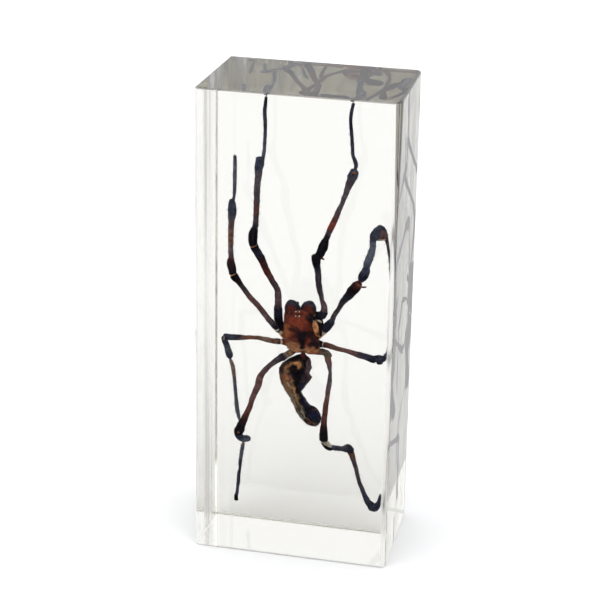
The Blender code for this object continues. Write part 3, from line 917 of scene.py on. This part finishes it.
         (-16.7, 5.7, 40.8, 0.5), (-16.5, 5.9, 39, 0.45), (-16.3, 6.2, 36.2, 0.4, "blue_grey_with_sheen"),
         (-16.1, 6.4, 33.4, 0.45)),
        ("metatarsus", (-16.1, 6.4, 33.5, 0.45, "blue_grey_with_sheen"), (-15.9, 6.5, 31.1, 0.5),
         (-15.6, 6.5, 29.2, 0.5)),
        ("tarsus", (-15.6, 6.5, 29.3, 0.45, "blue_grey_with_sheen"), (-15.4, 6.5, 28.2, 0.45), (-15.1, 6.5, 27.2, 0.25)),
    ),
    "right_3": (
        ("coxa", (1.9, 3.1, 50.2, 0.85, "black"), (3.7, 2.3, 49.8, 0.85),
         (4.9, 1.8, 49.7, 0.7, "blue_black")),
        ("trochanter", (4.8, 1.8, 49.7, 0.65, "blue_black"), (5.1, 1.8, 49.7, 0.7, "cream"),
         (5.2, 1.7, 49.7, 0.7)),
        ("femur", (5.2, 1.7, 49.7, 0.65, "black_red"), (6, 1.6, 49.7, 0.7, "red_brown"),
         (7, 1.7, 49.4, 0.65, "brown"), (8.6, 1.9, 49, 0.55), (10.2, 2.1, 48.7, 0.55, "purple_brown"),
         (11.6, 2.4, 48.3, 0.6), (13.2, 2.6, 47.9, 0.75, "dusk"), (14.7, 2.9, 47.5, 0.8, "slate_with_sheen"),
         (16, 3.1, 47.1, 0.9, "blue_black"), (16.7, 3.3, 47, 0.85)),
        ("patella", (16.6, 3.3, 47.2, 0.75, "blue_black"), (17.3, 3.5, 47.2, 0.9, "slate_with_sheen"),
         (18.2, 3.7, 47.2, 0.85), (18.9, 3.9, 47.4, 0.65, "blue_black")),
        ("knob", (17.8, 3.6, 46.5, 0.85, "slate_with_sheen"), (17.9, 3.8, 45.9, 0.8, "blue_black")),
        ("tibia", (18.7, 4, 47.3, 0.6, "slate_with_sheen"), (19, 5.4, 47.7, 0.45, "dusk"),
         (19.2, 7.4, 48.2, 0.35, "red_brown"), (19.3, 8.8, 49.1, 0.3, "brown")),
        ("metatarsus", (19.3, 8.8, 48.7, 0.3, "dusk"), (19.4, 8.9, 50.7, 0.25, "grey_purple"),
         (19.4, 8.9, 52.2, 0.4, "dusk"), (19.4, 9, 54.1, 0.25, "grey_purple"), (19.4, 9, 56.5, 0.35, "dusk")),
        ("tarsus", (19.4, 9, 56.2, 0.3, "dusk"), (19.3, 8.8, 58.9, 0.25, "grey_purple"),
         (19.2, 8.6, 61.4, 0.25, "slate_with_sheen")),
    ),
    "left_4": (
        ("coxa", (-2, 3, 47.3, 0.75, "brown"), (-2.9, 2.5, 46.6, 0.8, "ochre"), (-3.8, 2, 46, 0.8, "brown")),
        ("trochanter", (-3.6, 2.1, 46.1, 0.75, "ochre"), (-3.9, 1.7, 46, 0.85, "olive"),
         (-4.3, 1.4, 45.8, 0.95, "dusk"), (-4.6, 1.1, 45.7, 0.95, "blue_black")),
        ("femur", (-4.5, 1, 45.7, 0.95, "blue_black"), (-5.2, 0.5, 45.3, 0.8, "dusk"),
         (-5.9, 0, 44.8, 0.7, "grey_purple"), (-7.2, -0.8, 43.7, 0.6, "purple"), (-8.2, -1.6, 42.5, 0.65),
         (-9, -2.3, 41.2, 0.75, "purple_brown"), (-9.4, -3, 39.3, 0.8), (-10, -3.5, 37.6, 0.7),
         (-10.6, -4, 36, 0.65), (-11, -4.4, 34.3, 0.65, "red_brown"), (-11.7, -4.8, 32.5, 0.7),
         (-12.4, -5.2, 30.8, 0.85, "black_red"), (-13, -5.7, 29.2, 1.05, "black"), (-13.4, -5.9, 28.1, 1.15),
         (-13.5, -6, 27.5, 1.05)),
        ("knee_ring", (-13.7, -6.9, 28.1, 0.3, "brown"), (-13.1, -6.9, 27.9, 0.3)),
        ("patella", (-13.6, -5.8, 27.6, 0.95, "blue_black"), (-13.4, -5.1, 26.5, 0.9, "slate_with_sheen"),
         (-12.7, -4.2, 25.8, 0.9, "blue_grey_with_sheen"), (-11.9, -3.4, 25.7, 0.85), (-11.3, -3, 25.6, 0.55, "slate_with_sheen")),
        ("tibia", (-12.6, -3.6, 25.4, 0.45, "slate_with_sheen"), (-13, -1.6, 24.1, 0.25, "light_brown"),
         (-13.3, 0, 23, 0.4, "blue_grey_with_sheen")),
        ("metatarsus", (-13.3, -0.2, 23.2, 0.4, "blue_grey_with_sheen"), (-13.6, 0.8, 21.9, 0.45),
         (-14.2, 2.8, 19.2, 0.45), (-14.6, 4, 17, 0.45, "slate_with_sheen"), (-14.8, 4.8, 15.1, 0.3),
         (-15, 4.9, 14.2, 0.4), (-15.2, 4.9, 11.2, 0.45)),
        ("tarsus", (-15.2, 4.9, 11.4, 0.4, "slate_with_sheen"), (-15.4, 4.6, 9.1, 0.4), (-15.6, 4.5, 8.3, 0.45, "black"),
         (-15.6, 4.4, 7.2, 0.55)),
    ),
    "right_4": (
        ("coxa", (2.2, 3, 47.8, 0.9, "brown"), (4, 2.3, 47.8, 0.8), (5.4, 1.8, 47.9, 0.75, "dark_olive")),
        ("trochanter", (4.7, 2, 47.9, 0.75, "brown"), (5.9, 1.5, 47.7, 0.85, "dark_olive"),
         (6.4, 1.1, 47, 0.75)),
        ("femur", (6, 1.3, 47.3, 0.75, "dark_olive"), (6.3, 0.8, 46.4, 0.75, "brown"),
         (6.6, 0.3, 45.6, 0.65, "purple"), (6.8, -0.1, 44.6, 0.5), (7, -0.4, 43.7, 0.35, "grey_purple"),
         (7, -0.8, 42.6, 0.5), (7, -1.3, 41.3, 0.55), (6.8, -1.9, 39.7, 0.55, "purple"),
         (6.7, -2.6, 37.9, 0.55, "purple_brown"), (6.5, -3, 36.2, 0.6, "red_brown"), (6.4, -3.5, 34.3, 0.65),
         (6.3, -4, 32.7, 0.7), (6.3, -4.4, 31.1, 0.8, "black_red"), (6.4, -4.8, 29.7, 0.95, "black"),
         (6.4, -5, 28.3, 1.1), (6.4, -5.1, 27.9, 1)),
        ("patella", (6.4, -5, 27.8, 0.65, "olive"), (7, -4.1, 26.9, 0.7, "grey_cream"),
         (7.6, -2.7, 26, 0.55)),
        ("patella_rim", (6.1, -4.9, 27.3, 0.4, "black"), (6.8, -4, 26.2, 0.55), (7.5, -3, 25.4, 0.5),
         (8.2, -2.2, 25.2, 0.4, "blue_black")),
        ("tibia", (7.7, -2.6, 25.8, 0.55, "blue_grey_with_sheen"), (8.6, -0.5, 25, 0.65, "blue_black"),
         (9.6, 3.3, 23.9, 0.6, "slate_with_sheen"), (10.2, 5.5, 23.3, 0.8, "blue_black"), (10.8, 7.1, 23, 1.1),
         (11.3, 7.5, 22.3, 0.9)),
        ("metatarsus", (11.1, 7.4, 22.4, 0.85, "blue_black"), (11.7, 7.3, 21.3, 0.7, "brown"),
         (12.2, 7, 19.8, 0.55, "dusk"), (12.8, 6.7, 18.2, 0.5, "grey_purple"), (13.2, 6.4, 16.7, 0.5),
         (13.7, 6, 15.2, 0.5, "dusk"), (14.4, 5.6, 13.7, 0.5), (15.1, 5.1, 12.3, 0.6, "slate_with_sheen"),
         (15.9, 4.7, 10.9, 0.75), (16.7, 4.3, 10.1, 1), (17.4, 4, 9.4, 1.15)),
        ("tarsus", (17.2, 4.1, 9.6, 1.05, "slate_with_sheen"), (17.9, 3.7, 9.7, 1.05), (18.6, 3, 10.8, 0.65),
         (19, 2, 12.2, 0.4), (19.3, 1, 13.9, 0.25)),
    ),
}
TUBES = ("coxa", "trochanter", "femur", "patella", "tibia", "metatarsus", "tarsus")
END_ROUNDS = {"tibia": 0.3, "tarsus": 0.3, "knee_ring": 0.1}
USUAL_END_ROUND = 0.55
JOINT_LAP = 0.4

leg_skin = skin_material("dried_leg", mottle=0.35, grain=2400, relief=0.035 * MM)
leg_courses = []


def dyed(points):
    """The points with each one's dye written out."""
    dye = None
    for x, y, z, radius, *own in points:
        dye = own[0] if own else dye
        yield x, y, z, radius, dye


def lapped(points):
    """The points with both ends drawn out by a share of their radius, into the next tube."""
    drawn = [list(point) for point in points]
    for end, inner in ((0, 1), (-1, -2)):
        place = Vector(points[end][:3])
        out = (place - Vector(points[inner][:3])).normalized()
        drawn[end][:3] = place + out * JOINT_LAP * points[end][3]
    return drawn


for leg_name, parts in LEGS.items():
    tubes = []
    for name, *points in parts:
        end_round = END_ROUNDS.get(name, USUAL_END_ROUND)
        points = list(dyed(points))
        if name in TUBES:
            points = lapped(points)
        tubes.append(limb(f"{name}_{leg_name}", points, end_round, dents=0.13))
        leg_courses.append((name, stations_along(points, end_round)))
    finish_piece(join(f"spider_leg_{leg_name}", tubes), leg_skin)


# The hind body: a thin-skinned bag on a narrow red waist. It lost its filling as it dried and fell in along
# its right side, so that the tail end hangs as dark lobes, and the pale left side is drawn into lengthwise
# ridges.
ABDOMEN_BALL = ((-0.3, 3.0, 37.6), (5.0, 5.0, 9.2))
ABDOMEN_LEFT = (
    (28.4, 2.3), (28.6, 1.7), (28.95, 1.1), (29.5, 0.5), (30.4, -0.25), (32.7, -1.6), (35.0, -2.5),
    (36.6, -3.4), (37.9, -4.15), (39.5, -4.95), (41.7, -5.2), (42.8, -5.05), (43.8, -4.6), (44.5, -3.9),
    (45.6, -2.4), (46.3, -1.2), (46.8, -0.2),
)
ABDOMEN_RIGHT = (
    (28.4, 2.9), (28.7, 3.5), (29.4, 4.1), (30.7, 4.5), (31.9, 4.05), (33.0, 3.4), (33.45, 2.8), (33.7, 1.6),
    (34.4, 1.3), (35.4, 0.75), (36.4, -0.15), (37.2, -0.3), (38.9, 0.8), (39.9, 1.55), (40.9, 2.15),
    (41.4, 1.9), (41.9, 1.6), (42.5, 1.7), (43.5, 2.1), (44.6, 2.05), (45.9, 1.5), (46.8, 0.7),
)
ABDOMEN_FRONT = (
    (28.4, 4.4), (28.9, 3.4), (30.4, 2.7), (32.1, 2.5), (33.8, 2.4), (35.6, 2.1), (37.2, 1.6), (38.8, 0.7),
    (40.9, -0.4), (43.2, -0.5), (45.2, 0.5), (46.2, 1.5), (46.8, 2.2),
)
ABDOMEN_BACK = (
    (28.4, 5.2), (28.9, 6.2), (30.4, 6.7), (32.1, 6.1), (33.8, 5.4), (35.6, 5.2), (37.2, 5.1), (38.8, 5.7),
    (40.9, 6.3), (43.2, 6.1), (45.2, 4.5), (46.2, 3.3), (46.8, 2.6),
)
SIDE_FOLD = (
    (0.6, 46.2), (0.1, 43.6), (-1.1, 39.6), (-0.9, 37.4), (-0.3, 35.6), (0.4, 32.7), (1.3, 30.6), (2.3, 29.3),
)
SIDE_DENT = ((-1.5, 42.9), (1.2, 0.8), 0.9)
RIDGES = (
    ((-3.6, 40.6), (-3.2, 38.5), (-2.6, 36.6), (-1.7, 34.4), (-0.5, 31.9), (0.8, 30.1), (1.9, 29.2)),
    ((-2.3, 40.0), (-1.6, 38.4), (-1.2, 36.6), (-0.6, 34.4), (0.1, 32.3), (1.2, 30.4)),
    ((-3.0, 43.4), (-2.2, 44.3), (-0.9, 44.6), (-0.2, 43.9)),
)
RIDGE_HEIGHT = 0.5
RIDGE_WIDTH = 0.22
WAIST = (
    (0.3, 1.7, 48.8, 0.7, "black_red"), (0.35, 1.6, 47.8, 0.45, "red_brown"),
    (0.4, 1.7, 46.9, 0.5, "dark_red"), (0.3, 2.1, 45.8, 0.9, "black_red"),
)
SPINNERETS = (
    ((1.9, 5.6, 29.6, 0.36, "brown"), (1.7, 6.6, 29.1, 0.16, "black")),
    ((2.6, 5.7, 29.6, 0.36, "brown"), (2.8, 6.7, 29.1, 0.16, "black")),
    ((2.0, 5.9, 30.3, 0.32, "brown"), (1.9, 6.9, 30.0, 0.14, "black")),
    ((2.6, 6.0, 30.3, 0.32, "brown"), (2.7, 7.0, 30.0, 0.14, "black")),
)


def abdomen_shape(place):
    z, cosine, sine = sliced(place, ABDOMEN_BALL)
    left, right = between(ABDOMEN_LEFT, z), between(ABDOMEN_RIGHT, z)
    front, back = between(ABDOMEN_FRONT, z), between(ABDOMEN_BACK, z)
    x = (left + right) / 2 + math.copysign(abs(cosine) ** 0.9, cosine) * (right - left) / 2
    y = (front + back) / 2 + math.copysign(abs(sine) ** 0.8, sine) * (back - front) / 2
    slack = min(1.0, (right - left) / 2.5)
    if sine < 0:
        fold = 0.75 * groove(x, z, SIDE_FOLD, 0.35) + 0.35 * groove(x, z, SIDE_FOLD, 1.1)
        fold += SIDE_DENT[2] * bump_at(x, z, *SIDE_DENT[:2])
        fold -= RIDGE_HEIGHT * max(groove(x, z, line, RIDGE_WIDTH) for line in RIDGES)
        y += fold * -sine * slack
    folded = Vector((x, y, z))
    lift = crumple(folded, 1.5, 0.22) + 0.14 * (1 - 2 * abs(noise.noise(folded * 1.3)))
    out = Vector((cosine, sine, 0))
    return folded + out * lift * slack


abdomen = ball("spider_abdomen", *ABDOMEN_BALL, 128, 144)
reshape(abdomen, abdomen_shape)
paint(
    abdomen,
    "black",
    (
        ((-3.4, 1.0, 41.2), (1.9, 3.5, 3.0), "brown", 0.9),
        ((-2.9, 1.5, 38.2), (1.5, 3.0, 3.0), "ochre", 0.8),
        ((-1.6, 2.4, 34.8), (1.0, 3.0, 2.6), "olive", 0.85),
        ((0.2, 2.6, 31.5), (0.8, 3.0, 1.9), "olive", 0.7),
        ((-3.6, 0.5, 41.0), (0.9, 3.0, 1.0), "orange", 0.5),
        ((-2.5, 1.5, 45.3), (3.0, 3.0, 0.8), "black", 1.0),
        ((-1.6, 0.5, 42.9), (1.5, 3.0, 1.2), "black", 1.0),
        ((-4.3, 1.0, 43.0), (0.7, 3.0, 1.1), "black", 0.6),
        ((-1.4, 0.5, 41.3), (0.6, 3.0, 0.8), "black", 0.7),
        ((1.75, 2.0, 43.9), (0.55, 3.0, 2.4), "purple", 0.85),
        ((2.0, 2.0, 40.9), (0.5, 3.0, 0.8), "red_brown", 0.9),
        ((0.8, 2.0, 40.4), (0.9, 3.0, 1.6), "dusk", 0.6),
        ((3.2, 4.0, 33.1), (0.6, 3.0, 0.4), "brown", 0.8),
        # The navy patches on the right side and tail: dark skin with a painted bluish sheen.
        ((3.0, 4.0, 31.4), (1.5, 3.0, 1.8), "navy_with_sheen", 0.9),
        ((0.3, 2.0, 38.6), (0.8, 3.0, 1.6), "navy_with_sheen", 0.9),
        ((0.6, 3.0, 35.2), (0.9, 3.0, 2.2), "navy_with_sheen", 0.9),
        ((2.6, 4.0, 29.2), (1.2, 3.0, 0.6), "brown", 0.9),
    ),
    (
        (((-3.4, 43.1), (-2.9, 44.1), (-2.2, 44.6), (-1.2, 44.85)), 0.34, "tan", 1.0),
        (((-1.1, 44.8), (-0.5, 44.8), (-0.1, 44.3), (-0.4, 43.8)), 0.42, "bright_tan", 1.0),
        (((-3.5, 42.6), (-2.9, 42.9)), 0.25, "ochre", 0.8),
        (((-2.3, 41.6), (-1.9, 41.0), (-2.2, 40.2)), 0.2, "tan", 0.6),
        (((-3.9, 40.2), (-3.2, 38.3), (-2.8, 37.2)), 0.22, "orange", 0.5),
        (((-1.75, 38.9), (-1.35, 37.2), (-1.0, 35.8), (-0.6, 34.4)), 0.26, "bright_tan", 1.0),
        (((-3.3, 41.9), (-2.9, 40.9)), 0.3, "tan", 0.8),
        # Cream along a ridge's crest: a painted highlight.
        (((-3.0, 39.9), (-2.4, 38.4)), 0.2, "cream", 0.6),
        (((-4.3, 41.0), (-4.0, 39.6), (-3.3, 37.6)), 0.16, "black", 0.7),
        # Cream along a ridge's crest: a painted highlight.
        (((-0.5, 34.0), (0.1, 32.4), (1.1, 30.6)), 0.18, "cream", 0.7),
        (((-2.1, 38.6), (-1.75, 36.9), (-1.2, 35.2), (-0.2, 32.9)), 0.14, "black", 0.9),
        (((-2.9, 37.6), (-2.1, 35.6), (-0.9, 32.9)), 0.12, "ochre", 0.7),
        (((1.5, 30.3), (1.8, 29.7), (2.3, 29.2)), 0.16, "tan", 0.9),
        (((2.2, 29.9), (2.7, 29.4)), 0.12, "tan", 0.5),
        (((-3.7, 38.9), (-2.9, 36.9), (-1.9, 34.6), (-0.6, 32.0)), 0.14, "tan", 0.7),
        (((-1.3, 34.6), (-0.4, 32.4), (0.6, 30.8)), 0.1, "black", 0.9),
    ),
    wander=0.45,
)
bag_skin = skin_material("dried_bag", mottle=0.6, grain=1900, relief=0.08 * MM)
tail = [abdomen, limb("waist", WAIST, dents=0.2)]
for number, points in enumerate(SPINNERETS):
    tail.append(limb(f"spinneret_{number + 1}", points))
finish_piece(join("spider_abdomen", tail), bag_skin)


# The hairs and spines: short dark bristles over the legs, lying towards the feet, longer spines on the shins
# and feet, two claws at each foot, and short down over the shield, the left fang base and the hind body.
HAIR_SEED = 41
HAIRS_PER_MM = 9
HAIR_LENGTHS = (0.25, 0.5)
HAIR_RADIUS = 0.014
SPINE_GAP = 2.1
SPINE_LENGTH = 0.9
SPINE_RADIUS = 0.04
CLAW_LENGTH = 0.45
CLAW_RADIUS = 0.07
DOWN_SHARE = 0.2
DOWN_LENGTH = 0.3
DOWN_LEAN = Vector((0, 0, -0.9))
DOWN_DROOP = Vector((0, 0, -1))
HAIR_COLOUR = (0.03, 0.022, 0.02)

dice = random.Random(HAIR_SEED)
hair_points = []
hair_faces = []


def bristle(root, direction, droop, length, radius):
    """Adds one thin three-sided bristle that bends towards droop."""
    direction = direction.normalized()
    side = direction.orthogonal().normalized()
    other = direction.cross(side)
    start = len(hair_points)
    middle = root + direction * length * 0.5
    tip = root + direction * length * 0.85 + droop * length * 0.35
    for place, thick in ((root, radius), (middle, radius * 0.7)):
        for step in range(3):
            angle = step * math.tau / 3
            hair_points.append((place + (side * math.cos(angle) + other * math.sin(angle)) * thick) * MM)
    hair_points.append(tip * MM)
    for step in range(3):
        after = (step + 1) % 3
        hair_faces.append((start + step, start + after, start + 3 + after, start + 3 + step))
        hair_faces.append((start + 3 + step, start + 3 + after, start + 6))
    hair_faces.append((start + 2, start + 1, start))


def grow_on_limb(name, stations):
    """Hairs all round one part of a leg, and spines or claws where that part has them."""
    run = 0.0
    spiny = name in ("tibia", "metatarsus")
    for (start, thick, _), (end, _, _) in zip(stations, stations[1:]):
        step = end - start
        if step.length < 1e-6:
            continue
        axis = step.normalized()
        side = axis.orthogonal().normalized()
        other = axis.cross(side)
        for _ in range(int(HAIRS_PER_MM * step.length + dice.random())):
            angle = dice.uniform(0, math.tau)
            out = side * math.cos(angle) + other * math.sin(angle)
            root = start + step * dice.random() + out * thick * 0.95
            bristle(root, out * 0.7 + axis, axis, dice.uniform(*HAIR_LENGTHS), HAIR_RADIUS)
        before = int(run / SPINE_GAP)
        run += step.length
        if spiny and int(run / SPINE_GAP) > before:
            for angle in (0.4, 2.2, 4.1):
                angle += dice.uniform(-0.3, 0.3)
                out = side * math.cos(angle) + other * math.sin(angle)
                bristle(start + out * thick * 0.9, out + axis * 0.7, axis, SPINE_LENGTH, SPINE_RADIUS)
    if name == "tarsus":
        for hand in (-1, 1):
            bristle(end, axis + side * 0.5 * hand, other * -1, CLAW_LENGTH, CLAW_RADIUS)


for part_name, part_stations in leg_courses:
    grow_on_limb(part_name, part_stations)
for piece in (carapace, abdomen, mouth_pieces[0]):
    for corner in piece.data.vertices:
        if dice.random() < DOWN_SHARE:
            bristle(corner.co / MM, corner.normal + DOWN_LEAN, DOWN_DROOP, DOWN_LENGTH, HAIR_RADIUS)
hair_mesh = bpy.data.meshes.new("spider_hairs")
hair_mesh.from_pydata(hair_points, [], hair_faces)
hairs = bpy.data.objects.new("spider_hairs", hair_mesh)
bpy.context.scene.collection.objects.link(hairs)
hair_material, hair_tree, hair_shader = start_material("dark_bristle")
fill_inputs(hair_tree, hair_shader, {"Base Color": (*HAIR_COLOUR, 1), "Roughness": 0.5})
finish_piece(hairs, hair_material)
